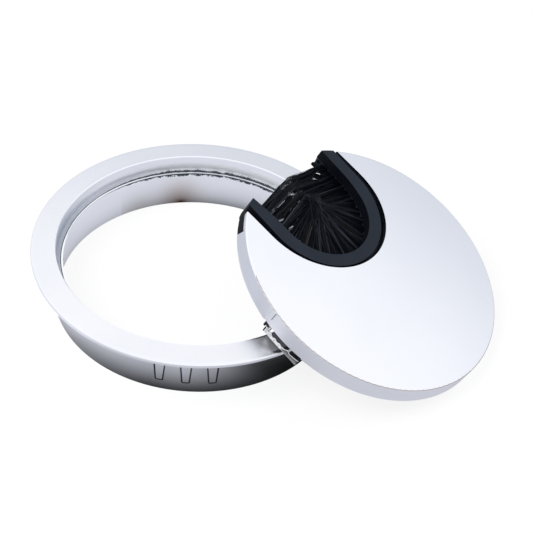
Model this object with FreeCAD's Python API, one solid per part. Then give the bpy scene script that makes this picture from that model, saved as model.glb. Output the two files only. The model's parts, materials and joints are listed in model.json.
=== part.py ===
"""Desk grommet, about 80 mm: a metal ring for the hole in a desk top, and its lift-off brush cover.

Ring frame: millimetres, +Z up, origin on the ring's axis at the foot of its tube.
Cover frame: origin on the cover's axis in the plane of its upper rim edge, +Z out of its top
face, +X from the axis to the open mouth of the cable slot. The cover lies off the ring: one side
of its rim is on the table and its underside leans on the ring's flange.
"""
import FreeCAD, Part
import math
import os

from FreeCAD import Placement, Rotation, Vector

# ---- ring -----------------------------------------------------------------------------------
FLANGE_R = 46.0            # outer radius of the flange that lies on the desk
TUBE_R = 39.75             # outer radius of the tube that goes into the desk's hole
TUBE_L = 15.15             # tube length below the flange
TUBE_WALL = 1.3
FLANGE_EDGE = 1.0          # thickness of the flange at its outer edge
FLANGE_RISE = 0.9          # the flange's top face climbs this much towards the ring's axis
RECESS_WALL = 0.8          # wall beside the recess that takes the cover
LEDGE_DEPTH = 4.65         # from the flange's inner top edge down to the ledge
LEDGE_T = 1.2
LEDGE_IN = 1.35            # how far the ledge stands in from the tube's bore
EDGE_ROUND = 0.4
INNER_CHAMFER = 0.25

# tongues that grip the side of the desk's hole
TONGUE_GROUPS = 3
TONGUES_IN_GROUP = 3
TONGUE_PITCH_DEG = 10.4
TONGUE_FIRST_DEG = 270.3   # middle tongue of the first group
TONGUE_W_TOP = 3.5
TONGUE_W_FOOT = 2.35
TONGUE_L = 7.05
TONGUE_FOOT_Z = 3.05
TONGUE_CORNER = 0.55
TONGUE_LEAN = 0.3          # how far the root of a tongue lies behind its free end
GROOVE_W = 0.4
GROOVE_DEPTH = 0.5

SIDE_HOLE_R = 1.1          # holes for a screw through the tube into the desk
SIDE_HOLE_Z = 2.3
SIDE_HOLE_DEG = 172.0

# ---- cover plate ----------------------------------------------------------------------------
COVER_CLEAR = 0.3          # radial clearance of the cover in the ring's recess
RIM_H = 5.45
RIM_T = 1.3
COVER_DOME = 1.65
COVER_T = 1.5
COVER_EDGE_ROUND = 0.35
SLOT_HALF = 21.0           # half the width of the slot in the metal
SLOT_CENTRE = 22.95        # centre of the slot's round end, from the cover's axis
EAR_DEG = 40.6             # the rim wall gives way to plastic up to this angle
EAR_STEP_DEG = 4.0
EAR_SLANT = 1.5            # slant of the rim wall's ends over its height
EAR_FIT = 0.1
EAR_IN = 2.6               # thickness of the plastic rim behind the metal rim's inner face
CLIP_NOTCH = 0.3           # the rim is this much lower in height above a clip
SEAM_W = 0.3

# ---- black plastic parts in the cover -------------------------------------------------------
FRAME_PROUD = 0.65         # top of the frame above the plane of the upper rim edge
FRAME_GAP = 1.55           # gap between the frame and the metal along the slot's sides
FRAME_GAP_END = 1.0        # the same gap at the slot's round end
FRAME_WALL = 4.2           # width of the frame's top face along the sides
FRAME_WALL_END = 3.6
FRAME_LIP_T = 1.3          # lip under the metal
FRAME_LIP_OUT = 3.0        # how far the lip reaches under the metal
STRIP_H = 2.2
STRIP_DEPTH = 1.95
STRIP_SET_BACK = 0.25      # strip's face behind the frame's inner wall
STRIP_DROP = 3.05          # from the frame's top down to the strip
CARRIER_BELOW = 0.55       # the carrier's underside below the rim's lower edge
CARRIER_PLATE_T = 1.2
CARRIER_RIB_T = 1.2
CARRIER_GAP = 0.4          # between the carrier and the inside of the rim
FIT = 0.05                 # clearance between parts that are fixed together

# ---- bristles -------------------------------------------------------------------------------
TUFTS = 25
TUFT_ROOT_R = 0.8
TUFT_TIP_R = 0.22
TUFT_REACH = 0.62          # share of the way to the focus that a tuft's solid fills
FOCUS_FROM_CENTRE = 7.2    # the tufts point here, from the centre of the slot's round end
TUFT_END_MARGIN = 1.6      # last tuft from the end of the strip
TUFT_HOLE = 1.0            # depth of a tuft's hole in the strip

# ---- screws ---------------------------------------------------------------------------------
SCREW_R = 1.0
SCREW_HEAD_R = 2.0
SCREW_HEAD_H = 1.1
SCREW_L = 4.6
SCREW_ARM = 24.0           # side screws, from the cover's axis
SCREW_BACK = 27.0          # third screw, opposite the mouth
SCREW_PAD_R = 3.2
BOSS_R = 2.3
CROSS_W = 0.5
CROSS_DEPTH = 0.6

# ---- spring clips ---------------------------------------------------------------------------
CLIP_HALF = 6.8            # half the width of a clip's boss
CLIP_H = 2.0
CLIP_T = 0.35
CLIP_NOSE = 0.45           # clearance between the clip's nose and the tube's bore
CLIP_EYE_R = 0.75
CLIP_PIN_R = 0.35
CLIP_RUN = 0.05            # running clearance of an eye on its pin
CLIP_BOSS_IN = 3.6         # thickness of the boss behind a clip
CLIP_POCKET = 2.6          # depth of the pocket that a clip lies in
CLIP_CHEEK = 0.6           # thickness of each side wall of the pocket
CLIP_ARM_BACK = 5.0        # the pin, from the middle of the clip
CLIP_WAVE = 0.2            # depth of the waves in the leaf
CLIP_FLOOR = 0.05          # the boss reaches this much lower than the clip
CLIP_BELOW_LEDGE = 0.3     # clearance between the ledge and a clip under it
CLIP_PIN_IN = 2.5          # length of the pin inside the boss
CLIP_PIN_HEAD_H = 0.4

# ---- where the cover lies -------------------------------------------------------------------
LEAN_AZIMUTH = -20.0       # direction in which the cover slopes down
LEAN_TILT = 25.8           # how steeply the cover lies
LEAN_SIDE = 8.5            # the cover's axis lies this far to the side of the ring's axis
SLOT_TURN = 144.3          # turn of the slot about the cover's own axis
LEAN_GAP = 0.1             # between the cover's underside and the ring
LEAN_STEP = 0.5            # the cover moves out by this much at a time if a boss meets the ring
LEAN_STEPS = 60

# ---- derived sizes --------------------------------------------------------------------------
FLANGE_TOP_OUT = TUBE_L + FLANGE_EDGE
RING_H = FLANGE_TOP_OUT + FLANGE_RISE
BORE_R = TUBE_R - TUBE_WALL
RECESS_R = TUBE_R - RECESS_WALL
LEDGE_Z = RING_H - LEDGE_DEPTH
LEDGE_R = BORE_R - LEDGE_IN
COVER_R = RECESS_R - COVER_CLEAR
COVER_IN_R = COVER_R - RIM_T
CARRIER_R = min(COVER_IN_R - CARRIER_GAP, LEDGE_R - CARRIER_GAP / 2)
CARRIER_Z = -RIM_H - CARRIER_BELOW
FRAME_HALF = SLOT_HALF - FRAME_GAP
FRAME_CENTRE = SLOT_CENTRE - SLOT_HALF + FRAME_GAP_END + FRAME_HALF
INNER_HALF = FRAME_HALF - FRAME_WALL
INNER_CENTRE = FRAME_CENTRE - FRAME_HALF + FRAME_WALL_END + INNER_HALF
RIM_PLATE_Z = -COVER_T                     # the plate's underside at the rim
LIP_TOP_Z = RIM_PLATE_Z - FIT
LIP_FOOT_Z = LIP_TOP_Z - FRAME_LIP_T
CARRIER_TOP_Z = LIP_FOOT_Z - FIT
STRIP_TOP_Z = FRAME_PROUD - STRIP_DROP
STRIP_FOOT_Z = STRIP_TOP_Z - STRIP_H
STRIP_MID_Z = (STRIP_TOP_Z + STRIP_FOOT_Z) / 2
FOCUS_X = INNER_CENTRE + FOCUS_FROM_CENTRE
END_R = COVER_R - FIT                      # the frame's arms end on this radius
CLIP_NOSE_R = BORE_R - CLIP_NOSE
CLIP_TOP_Z = -RIM_H - LEDGE_T - CLIP_BELOW_LEDGE
CLIP_FOOT_Z = CLIP_TOP_Z - CLIP_H
CLIP_FACE_R = LEDGE_R - 0.35               # outer face of a clip's boss
CLIP_HALF_DEG = math.degrees(math.asin(CLIP_HALF / CLIP_FACE_R))
CLIP_CHEEK_DEG = math.degrees(CLIP_CHEEK / CLIP_FACE_R)
CLIP_BOSS_FOOT_Z = CLIP_FOOT_Z - CLIP_FLOOR
CLIP_PIN_TOP_Z = CLIP_TOP_Z + CLIP_PIN_IN
CLIP_DEG = (90, -90)                       # azimuths of the clips in the cover
FAR = 3 * COVER_R


# ---- helpers --------------------------------------------------------------------------------
def revolve(points):
    """Solid of revolution about Z from a closed profile of (radius, height) points."""
    wire = Part.makePolygon([Vector(r, 0, z) for r, z in points + points[:1]])
    return Part.Face(wire).revolve(Vector(0, 0, 0), Vector(0, 0, 1), 360)


def cylinder(radius, z0, z1, x=0.0, y=0.0):
    return Part.makeCylinder(radius, z1 - z0, Vector(x, y, z0))


def box(x0, x1, y0, y1, z0, z1):
    return Part.makeBox(x1 - x0, y1 - y0, z1 - z0, Vector(x0, y0, z0))


def u_shape(half, centre, z0, z1):
    """Horseshoe prism: round at x = centre - half, open and straight towards +X."""
    top, foot = Vector(centre, half, z0), Vector(centre, -half, z0)
    edges = [
        Part.LineSegment(top, Vector(FAR, half, z0)).toShape(),
        Part.LineSegment(Vector(FAR, half, z0), Vector(FAR, -half, z0)).toShape(),
        Part.LineSegment(Vector(FAR, -half, z0), foot).toShape(),
        Part.Arc(foot, Vector(centre - half, 0, z0), top).toShape(),
    ]
    return Part.Face(Part.Wire(edges)).extrude(Vector(0, 0, z1 - z0))


def sector(r0, r1, deg0, deg1, z0, z1):
    """Ring sector between two radii and two angles."""
    def at(radius, deg):
        angle = math.radians(deg)
        return Vector(radius * math.cos(angle), radius * math.sin(angle), z0)
    mid = (deg0 + deg1) / 2
    edges = [
        Part.Arc(at(r0, deg0), at(r0, mid), at(r0, deg1)).toShape(),
        Part.LineSegment(at(r0, deg1), at(r1, deg1)).toShape(),
        Part.Arc(at(r1, deg1), at(r1, mid), at(r1, deg0)).toShape(),
        Part.LineSegment(at(r1, deg0), at(r0, deg0)).toShape(),
    ]
    return Part.Face(Part.Wire(edges)).extrude(Vector(0, 0, z1 - z0))


def turned(shape, deg):
    copy = shape.copy()
    copy.rotate(Vector(0, 0, 0), Vector(0, 0, 1), deg)
    return copy


def rounded_edges(points, radii):
    """Lines through the points, with a tangent arc of the given radius at each inner point."""
    edges = []
    start = points[0]
    for before, corner, after, radius in zip(points, points[1:], points[2:], radii):
        back = (before - corner).normalize()
        on = (after - corner).normalize()
        half_turn = (math.pi - back.getAngle(on)) / 2
        run = radius * math.tan(half_turn)
        arc_in, arc_out = corner + back * run, corner + on * run
        middle = corner + (back + on).normalize() * (radius / math.cos(half_turn) - radius)
        edges.append(Part.LineSegment(start, arc_in).toShape())
        edges.append(Part.Arc(arc_in, middle, arc_out).toShape())
        start = arc_out
    edges.append(Part.LineSegment(start, points[-1]).toShape())
    return edges


def flat_u(width_top, width_foot, z_top, z_foot, corner):
    """Upright tapered U outline in the XZ plane, closed across its top."""
    points = [
        Vector(-width_top / 2, 0, z_top),
        Vector(-width_foot / 2, 0, z_foot),
        Vector(width_foot / 2, 0, z_foot),
        Vector(width_top / 2, 0, z_top),
    ]
    edges = rounded_edges(points, [corner, corner])
    edges.append(Part.LineSegment(points[-1], points[0]).toShape())
    return Part.Face(Part.Wire(edges))


# ---- ring -----------------------------------------------------------------------------------
def tongue_cut():
    """Groove round one tongue, and the wedge that lets its face lean, at azimuth 270 degrees."""
    z_top = TONGUE_FOOT_Z + TONGUE_L
    inner = flat_u(TONGUE_W_TOP - 2 * GROOVE_W, TONGUE_W_FOOT - 2 * GROOVE_W,
                   z_top, TONGUE_FOOT_Z + GROOVE_W, TONGUE_CORNER - GROOVE_W)
    outer = flat_u(TONGUE_W_TOP, TONGUE_W_FOOT, z_top, TONGUE_FOOT_Z, TONGUE_CORNER)
    out = Vector(0, -TUBE_R, 0)
    groove = outer.extrude(out).cut(inner.extrude(out))
    groove = groove.cut(cylinder(TUBE_R - GROOVE_DEPTH, 0, z_top + 1))
    side = Part.makePolygon([
        Vector(-TONGUE_W_TOP, -TUBE_R + TONGUE_LEAN, z_top),
        Vector(-TONGUE_W_TOP, -TUBE_R - 1, z_top),
        Vector(-TONGUE_W_TOP, -TUBE_R - 1, TONGUE_FOOT_Z),
        Vector(-TONGUE_W_TOP, -TUBE_R, TONGUE_FOOT_Z),
        Vector(-TONGUE_W_TOP, -TUBE_R + TONGUE_LEAN, z_top),
    ])
    wedge = Part.Face(side).extrude(Vector(2 * TONGUE_W_TOP, 0, 0))
    lean = inner.extrude(out * 1.1).common(wedge)
    return groove.fuse(lean)


def ring_body():
    top_in = RECESS_R + INNER_CHAMFER
    ring = revolve([
        (BORE_R, 0), (TUBE_R, 0), (TUBE_R, TUBE_L), (FLANGE_R, TUBE_L),
        (FLANGE_R, FLANGE_TOP_OUT), (top_in, RING_H), (RECESS_R, RING_H - INNER_CHAMFER),
        (RECESS_R, LEDGE_Z), (LEDGE_R, LEDGE_Z), (LEDGE_R, LEDGE_Z - LEDGE_T),
        (BORE_R, LEDGE_Z - LEDGE_T),
    ])
    rim_edges = [e for e in ring.Edges if e.Closed and abs(e.BoundBox.XMax - FLANGE_R) < 0.01
                 and abs(e.BoundBox.ZMax - FLANGE_TOP_OUT) < 0.01]
    ring = ring.makeFillet(EDGE_ROUND, rim_edges)
    cut = tongue_cut()
    for group in range(TONGUE_GROUPS):
        for place in range(TONGUES_IN_GROUP):
            offset = (place - (TONGUES_IN_GROUP - 1) / 2) * TONGUE_PITCH_DEG
            azimuth = TONGUE_FIRST_DEG + group * 360 / TONGUE_GROUPS + offset
            ring = ring.cut(turned(cut, azimuth - 270))
    across = Part.makeCylinder(SIDE_HOLE_R, 2 * FAR, Vector(-FAR, 0, SIDE_HOLE_Z), Vector(1, 0, 0))
    return ring.cut(turned(across, SIDE_HOLE_DEG - 180))


# ---- cover plate ----------------------------------------------------------------------------
DOME_R = (COVER_R ** 2 + COVER_DOME ** 2) / (2 * COVER_DOME)
SCREW_PLACES = [(0, SCREW_ARM), (0, -SCREW_ARM), (-SCREW_BACK, 0)]


def under_dome(depth, radius, z0):
    """Cylinder from z0 up to the dome's surface, less the given depth."""
    ball = Part.makeSphere(DOME_R - depth, Vector(0, 0, COVER_DOME - DOME_R))
    return cylinder(radius, z0, COVER_DOME + 1).common(ball)


def ear_zone(r0, r1, inset, z0, z1):
    """The arc about the mouth whose rim is plastic, with ends that slant inwards lower down."""
    slant = EAR_SLANT / (RIM_H + RIM_PLATE_Z)
    middle_z = (RIM_PLATE_Z - RIM_H) / 2
    zone = sector(r0, r1, -EAR_DEG + EAR_STEP_DEG, EAR_DEG - EAR_STEP_DEG, z0, z1)
    run = math.radians(EAR_STEP_DEG + 1) * r1
    for side in (1, -1):
        end = Part.Face(Part.makePolygon([
            Vector(r0, -side * run, z0), Vector(r0, -side * run, z1),
            Vector(r0, side * (slant * (z1 - middle_z) - inset), z1),
            Vector(r0, side * (slant * (z0 - middle_z) - inset), z0),
            Vector(r0, -side * run, z0),
        ])).extrude(Vector(r1 - r0 + 1, 0, 0))
        zone = zone.fuse(turned(end, side * EAR_DEG))
    return zone


def cover_plate():
    plate = under_dome(0, COVER_R, -RIM_H)
    rim_edges = [e for e in plate.Edges if e.Closed and abs(e.BoundBox.ZMin) < 0.01]
    plate = plate.makeFillet(COVER_EDGE_ROUND, rim_edges)
    plate = plate.cut(under_dome(COVER_T, COVER_IN_R, -RIM_H - 1))
    plate = plate.cut(u_shape(SLOT_HALF, SLOT_CENTRE, -RIM_H - 1, COVER_DOME + 1))
    plate = plate.cut(ear_zone(COVER_IN_R - 1, COVER_R + 1, 0, -RIM_H - 1, RIM_PLATE_Z))
    for side in CLIP_DEG:
        notch = sector(COVER_IN_R - 1, COVER_R + 1, side - CLIP_HALF_DEG, side + CLIP_HALF_DEG,
                       -RIM_H - 1, -RIM_H + CLIP_NOTCH)
        plate = plate.cut(notch)
        seam_deg = side - math.copysign(CLIP_HALF_DEG, side)
        seam = box(COVER_R - SEAM_W / 2, COVER_R + 1, -SEAM_W / 2, SEAM_W / 2,
                   -RIM_H - 1, -COVER_EDGE_ROUND)
        plate = plate.cut(turned(seam, seam_deg))
    dome_inside = under_dome(COVER_T - FIT, COVER_IN_R, -RIM_H)
    for x, y in SCREW_PLACES:
        boss = cylinder(BOSS_R, CARRIER_TOP_Z + FIT, COVER_DOME, x, y).common(dome_inside)
        plate = plate.fuse(boss)
    for x, y in SCREW_PLACES:
        tip_z = CARRIER_Z + SCREW_HEAD_H + SCREW_L
        plate = plate.cut(cylinder(SCREW_R + FIT, -RIM_H - 1, tip_z, x, y))
    return plate


# ---- black plastic parts --------------------------------------------------------------------
def brush_frame():
    inside = cylinder(CARRIER_R, CARRIER_Z - 1, LIP_TOP_Z)
    band = u_shape(FRAME_HALF, FRAME_CENTRE, CARRIER_Z, FRAME_PROUD)
    lip = u_shape(SLOT_HALF + FRAME_LIP_OUT, SLOT_CENTRE, LIP_FOOT_Z, LIP_TOP_Z).common(inside)
    ears = ear_zone(COVER_IN_R - EAR_IN, COVER_R, EAR_FIT, -RIM_H, LIP_TOP_Z)
    ears = ears.common(cylinder(END_R, -RIM_H, LIP_TOP_Z))
    frame = band.fuse(lip).fuse(ears)
    frame = frame.cut(u_shape(INNER_HALF, INNER_CENTRE, CARRIER_Z - 1, FRAME_PROUD + 1))
    groove_half = INNER_HALF + STRIP_SET_BACK + STRIP_DEPTH + FIT
    frame = frame.cut(u_shape(groove_half, INNER_CENTRE, STRIP_FOOT_Z - FIT, STRIP_TOP_Z + FIT))
    return frame.common(cylinder(END_R, CARRIER_Z - 1, FRAME_PROUD + 1))


def brush_strip(roots):
    """U-shaped strip with one hole for each tuft."""
    back = INNER_HALF + STRIP_SET_BACK + STRIP_DEPTH
    strip = u_shape(back, INNER_CENTRE, STRIP_FOOT_Z, STRIP_TOP_Z)
    strip = strip.cut(u_shape(INNER_HALF + STRIP_SET_BACK, INNER_CENTRE, STRIP_FOOT_Z - 1,
                              STRIP_TOP_Z + 1))
    strip = strip.common(cylinder(END_R, STRIP_FOOT_Z, STRIP_TOP_Z))
    for root in roots:
        way = tuft_way(root)
        hole = Part.makeCylinder(TUFT_ROOT_R + FIT, 2 * TUFT_HOLE, root - way * TUFT_HOLE, way)
        strip = strip.cut(hole)
    return strip


def tuft_roots():
    """Root point of each tuft, evenly along the strip's inner face."""
    half = INNER_HALF + STRIP_SET_BACK
    arm = math.sqrt(END_R ** 2 - half ** 2) - INNER_CENTRE - TUFT_END_MARGIN
    total = 2 * arm + math.pi * half
    roots = []
    for i in range(TUFTS):
        along = total * i / (TUFTS - 1)
        if along < arm:
            roots.append(Vector(INNER_CENTRE + arm - along, half, STRIP_MID_Z))
        elif along > total - arm:
            roots.append(Vector(INNER_CENTRE + arm - (total - along), -half, STRIP_MID_Z))
        else:
            angle = math.pi / 2 + (along - arm) / half
            roots.append(Vector(INNER_CENTRE + half * math.cos(angle), half * math.sin(angle),
                                STRIP_MID_Z))
    return roots


def tuft_way(root):
    return (Vector(FOCUS_X, 0, STRIP_MID_Z) - root).normalize()


def bristle_tuft(root):
    """Tapered tuft from the bottom of its hole towards the focus, short of its neighbours' tips."""
    way = tuft_way(root)
    start = root - way * (TUFT_HOLE - FIT)
    length = (Vector(FOCUS_X, 0, STRIP_MID_Z) - root).Length * TUFT_REACH + TUFT_HOLE
    return Part.makeCone(TUFT_ROOT_R, TUFT_TIP_R, length, start, way)


def clip_pivot():
    """Centre of the pin that a clip turns on, for the clip at azimuth 0."""
    return Vector(CLIP_FACE_R - CLIP_EYE_R - CLIP_RUN, -CLIP_ARM_BACK, 0)


def insert_carrier():
    plate = cylinder(CARRIER_R, CARRIER_TOP_Z - CARRIER_PLATE_T, CARRIER_TOP_Z)
    wall = cylinder(CARRIER_R, CARRIER_Z, CARRIER_TOP_Z)
    wall = wall.cut(cylinder(CARRIER_R - CARRIER_RIB_T, CARRIER_Z, CARRIER_TOP_Z))
    hem = u_shape(FRAME_HALF + FIT + CARRIER_RIB_T, FRAME_CENTRE, CARRIER_Z, CARRIER_TOP_Z)
    carrier = plate.fuse(wall).fuse(hem)
    end_x = FRAME_CENTRE - FRAME_HALF
    cross_bar = box(-CARRIER_RIB_T, end_x, -CARRIER_R, CARRIER_R, CARRIER_Z, CARRIER_TOP_Z)
    back_bar = box(-CARRIER_R, 0, -CARRIER_RIB_T / 2, CARRIER_RIB_T / 2, CARRIER_Z, CARRIER_TOP_Z)
    carrier = carrier.fuse(cross_bar).fuse(back_bar)
    for deg in (135, -135):
        carrier = carrier.fuse(turned(turned(back_bar, 180), deg))
    for x, y in SCREW_PLACES:
        carrier = carrier.fuse(cylinder(SCREW_PAD_R, CARRIER_Z, CARRIER_TOP_Z, x, y))
    for side in CLIP_DEG:
        carrier = carrier.fuse(clip_boss(side))
    carrier = carrier.common(cylinder(CARRIER_R, CLIP_FOOT_Z - 1, CARRIER_TOP_Z))
    carrier = carrier.cut(u_shape(FRAME_HALF + FIT, FRAME_CENTRE, CARRIER_Z - 1, CARRIER_TOP_Z + 1))
    for side in CLIP_DEG:
        carrier = carrier.cut(clip_pin_socket(side))
    for x, y in SCREW_PLACES:
        carrier = carrier.cut(cylinder(SCREW_R + FIT, CARRIER_Z - 1, CARRIER_TOP_Z + 1, x, y))
        carrier = carrier.cut(cylinder(SCREW_HEAD_R + FIT, CARRIER_Z - 1,
                                       CARRIER_Z + SCREW_HEAD_H + FIT, x, y))
    ear_room = ear_zone(COVER_IN_R - EAR_IN - FIT, COVER_R, EAR_FIT - FIT, -RIM_H - FIT,
                        CARRIER_TOP_Z + 1)
    return carrier.cut(ear_room)


def clip_boss(side):
    """Boss with the pocket that a clip lies in, on the side of the cover at this azimuth."""
    boss = sector(CLIP_FACE_R - CLIP_BOSS_IN, CLIP_FACE_R, -CLIP_HALF_DEG, CLIP_HALF_DEG,
                  CLIP_BOSS_FOOT_Z, CARRIER_TOP_Z)
    half_deg = CLIP_HALF_DEG - CLIP_CHEEK_DEG
    pocket = sector(CLIP_FACE_R - CLIP_POCKET, CLIP_FACE_R + 1, -half_deg, half_deg,
                    CLIP_BOSS_FOOT_Z - 1, CLIP_TOP_Z + CLIP_RUN)
    return turned(boss.cut(pocket), side)


def clip_pin_socket(side):
    pivot = clip_pivot()
    socket = cylinder(CLIP_PIN_R + FIT, CLIP_TOP_Z - 1, CLIP_PIN_TOP_Z + FIT, pivot.x, pivot.y)
    return turned(socket, side)


def clip_pin(side):
    """Headed pin that hangs from the boss through the clip's eye."""
    pivot = clip_pivot()
    foot_z = CLIP_FOOT_Z - CLIP_RUN
    pin = cylinder(CLIP_PIN_R, foot_z, CLIP_PIN_TOP_Z, pivot.x, pivot.y)
    head = cylinder(CLIP_EYE_R - FIT, foot_z - CLIP_PIN_HEAD_H, foot_z, pivot.x, pivot.y)
    return turned(pin.fuse(head).removeSplitter(), side)


def clip_line():
    """Middle line of the leaf from its eye to its turned-in tip, for the clip at azimuth 0."""
    pivot = clip_pivot()
    start_y = pivot.y - CLIP_EYE_R + CLIP_T / 2
    outer = CLIP_NOSE_R - CLIP_T / 2
    inner = outer - CLIP_WAVE
    step = CLIP_ARM_BACK / 5
    points = [
        Vector(pivot.x, start_y, 0), Vector(inner, start_y, 0), Vector(inner, -3.9 * step, 0),
        Vector(outer, -3.0 * step, 0), Vector(inner, -2.0 * step, 0), Vector(outer, -step, 0),
        Vector(inner, 0, 0), Vector(outer, 3.5 * step, 0),
        Vector(CLIP_FACE_R - CLIP_T, CLIP_ARM_BACK + 0.6 * CLIP_EYE_R, 0),
    ]
    return rounded_edges(points, [0.5, 0.6, 0.6, 0.6, 0.6, 0.6, 0.9])


def spring_clip(side):
    """Leaf spring: an eye on its pin, a waved leaf and a tip that is turned back in."""
    pivot = clip_pivot()
    strip = Part.Wire(clip_line()).makeOffset2D(CLIP_T / 2, 0, True, False, False)
    leaf = strip.extrude(Vector(0, 0, CLIP_H))
    leaf.translate(Vector(0, 0, CLIP_FOOT_Z))
    eye = cylinder(CLIP_EYE_R, CLIP_FOOT_Z, CLIP_TOP_Z, pivot.x, pivot.y)
    clip = eye.fuse(leaf).removeSplitter()
    hole = cylinder(CLIP_PIN_R + CLIP_RUN, CLIP_FOOT_Z - 1, CLIP_TOP_Z + 1, pivot.x, pivot.y)
    return turned(clip.cut(hole), side)


def carrier_screw(x, y):
    """Pan-head screw with a cross recess, its head below."""
    head = cylinder(SCREW_HEAD_R, CARRIER_Z, CARRIER_Z + SCREW_HEAD_H, x, y)
    foot = [e for e in head.Edges if e.Closed and abs(e.BoundBox.ZMax - CARRIER_Z) < 0.01]
    head = head.makeFillet(SCREW_HEAD_H / 3, foot)
    shank = cylinder(SCREW_R, CARRIER_Z, CARRIER_Z + SCREW_HEAD_H + SCREW_L, x, y)
    screw = head.fuse(shank).removeSplitter()
    arm = SCREW_HEAD_R * 0.6
    for long_x, long_y in ((arm, CROSS_W / 2), (CROSS_W / 2, arm)):
        slot = box(x - long_x, x + long_x, y - long_y, y + long_y, CARRIER_Z - 1,
                   CARRIER_Z + CROSS_DEPTH)
        screw = screw.cut(slot)
    return screw


# ---- where the cover lies -------------------------------------------------------------------
def lean_placement(push):
    """Takes cover coordinates to ring coordinates: rim on the table, underside on the flange.

    push moves the cover away from the ring, for a cover that rests on the boss of a clip.
    """
    tilt = math.radians(LEAN_TILT)
    azimuth = math.radians(LEAN_AZIMUTH)
    down = Vector(math.cos(azimuth), math.sin(azimuth), 0)
    across = Vector(-math.sin(azimuth), math.cos(azimuth), 0)
    height = COVER_R * math.sin(tilt) + RIM_H * math.cos(tilt)
    drop = FLANGE_TOP_OUT - height
    reach = FLANGE_R + (drop * math.cos(tilt) - CARRIER_Z + LEAN_GAP) / math.sin(tilt)
    centre = down * (reach + push) + across * LEAN_SIDE + Vector(0, 0, height)
    return Placement(centre, Rotation(across, LEAN_TILT)) * Placement(
        Vector(0, 0, 0), Rotation(Vector(0, 0, 1), SLOT_TURN))


def resting_placement(ring, hanging):
    """Where the cover lies once nothing that hangs below it cuts into the ring."""
    for step in range(LEAN_STEPS):
        lean = lean_placement(step * LEAN_STEP)
        moved = [placed(shape, lean) for shape in hanging]
        if min(ring.distToShape(shape)[0] for shape in moved) >= LEAN_GAP / 2:
            return lean
    return lean


def placed(shape, placement):
    copy = shape.copy()
    copy.Placement = placement.multiply(copy.Placement)
    return copy


def export(name, solids, placement):
    """Write one node, with its solids moved to where they lie."""
    moved = [placed(one, placement) for solid in solids for one in solid.Solids]
    node = moved[0] if len(moved) == 1 else Part.makeCompound(moved)
    node.exportStep("parts/" + name + ".step")


def build():
    os.makedirs("parts", exist_ok=True)
    ring = ring_body()
    carrier = insert_carrier()
    clips = [spring_clip(side) for side in CLIP_DEG]
    pins = [clip_pin(side) for side in CLIP_DEG]
    lean = resting_placement(ring, [carrier] + clips + pins)
    roots = tuft_roots()
    export("ring_liner", [ring], Placement())
    export("cover_plate", [cover_plate()], lean)
    export("brush_frame", [brush_frame()], lean)
    export("brush_strip", [brush_strip(roots)], lean)
    export("bristle_tufts", [bristle_tuft(root) for root in roots], lean)
    export("insert_carrier", [carrier], lean)
    export("carrier_screws", [carrier_screw(x, y) for x, y in SCREW_PLACES], lean)
    export("clip_pins", pins, lean)
    export("clip_front", clips[:1], lean)
    export("clip_rear", clips[1:], lean)


build()
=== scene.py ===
"""Looks of the desk grommet: a metal ring, and its brush cover leaning on the ring's flange.

Meshes are worked out in millimetres and made in metres; material nodes work in metres. Ring pieces
use the row's frame. Cover pieces use the cover's own frame (u, w, z): origin on its axis in the
plane of the upper rim edge, +u towards the open mouth of the cable slot, +z out of its top.
"""

import json
import math

import bmesh
import bpy
import numpy as np
from mathutils import Matrix, Vector


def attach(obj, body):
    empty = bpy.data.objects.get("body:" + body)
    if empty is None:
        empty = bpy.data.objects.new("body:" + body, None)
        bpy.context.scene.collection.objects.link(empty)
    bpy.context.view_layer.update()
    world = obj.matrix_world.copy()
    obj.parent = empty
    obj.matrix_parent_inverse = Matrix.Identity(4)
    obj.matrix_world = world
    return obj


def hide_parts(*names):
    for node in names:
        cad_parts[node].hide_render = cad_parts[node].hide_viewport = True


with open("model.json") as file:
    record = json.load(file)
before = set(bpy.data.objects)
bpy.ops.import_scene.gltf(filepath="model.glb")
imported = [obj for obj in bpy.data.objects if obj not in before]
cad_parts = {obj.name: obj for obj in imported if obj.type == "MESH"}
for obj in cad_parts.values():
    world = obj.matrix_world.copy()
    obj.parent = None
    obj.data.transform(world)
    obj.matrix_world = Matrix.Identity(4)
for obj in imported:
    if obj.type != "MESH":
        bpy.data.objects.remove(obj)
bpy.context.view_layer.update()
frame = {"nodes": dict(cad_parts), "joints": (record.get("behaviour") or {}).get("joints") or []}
NODES = frame["nodes"]
JOINTS = {j["name"]: j for j in frame["joints"]}

# ---- sizes shared with the CAD, in millimetres and degrees --------------------------------------
TUBE_R = 39.75
BORE_R = 38.45
RECESS_R = 38.95
LEDGE_Z = 12.40
LEDGE_R = 37.10
TONGUE_DEG = 270.3          # middle tongue of the first of three groups
TONGUE_GROUP_DEG = 120
COVER_R = 38.65
OUT_HALF, IN_HALF = 19.45, 15.25    # half widths of the slot's black frame, outside and inside
IN_C = 21.8                 # u of the centre of the frame's inner arc
END_R = 38.6                # the frame's arms end on this radius
ARM_TIP_U = 35.46           # u of the arms' inner end corners
STRIP_SET_BACK = 0.25       # the strip's inner face lies this far behind the frame's
LEAN_TILT, LEAN_AZIMUTH, SLOT_TURN = 25.8, -20.0, 144.3


def mm(value):
    """Millimetres to metres."""
    return value / 1000


def cover_matrix():
    """Cover frame in millimetres to the row's frame in metres."""
    azimuth = math.radians(LEAN_AZIMUTH)
    across = Vector((-math.sin(azimuth), math.cos(azimuth), 0))
    turn = Matrix.Rotation(math.radians(LEAN_TILT), 4, across)
    turn = turn @ Matrix.Rotation(math.radians(SLOT_TURN), 4, "Z")
    place = Matrix.Translation(Vector(JOINTS["cover_lift"]["pos_m"]))
    return place @ turn @ Matrix.Scale(mm(1), 4)


COVER = np.array(cover_matrix())
COVER_CENTRE = Vector(COVER[:3, 3])
COVER_AXIS = Vector(COVER[:3, 2]).normalized()


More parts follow.
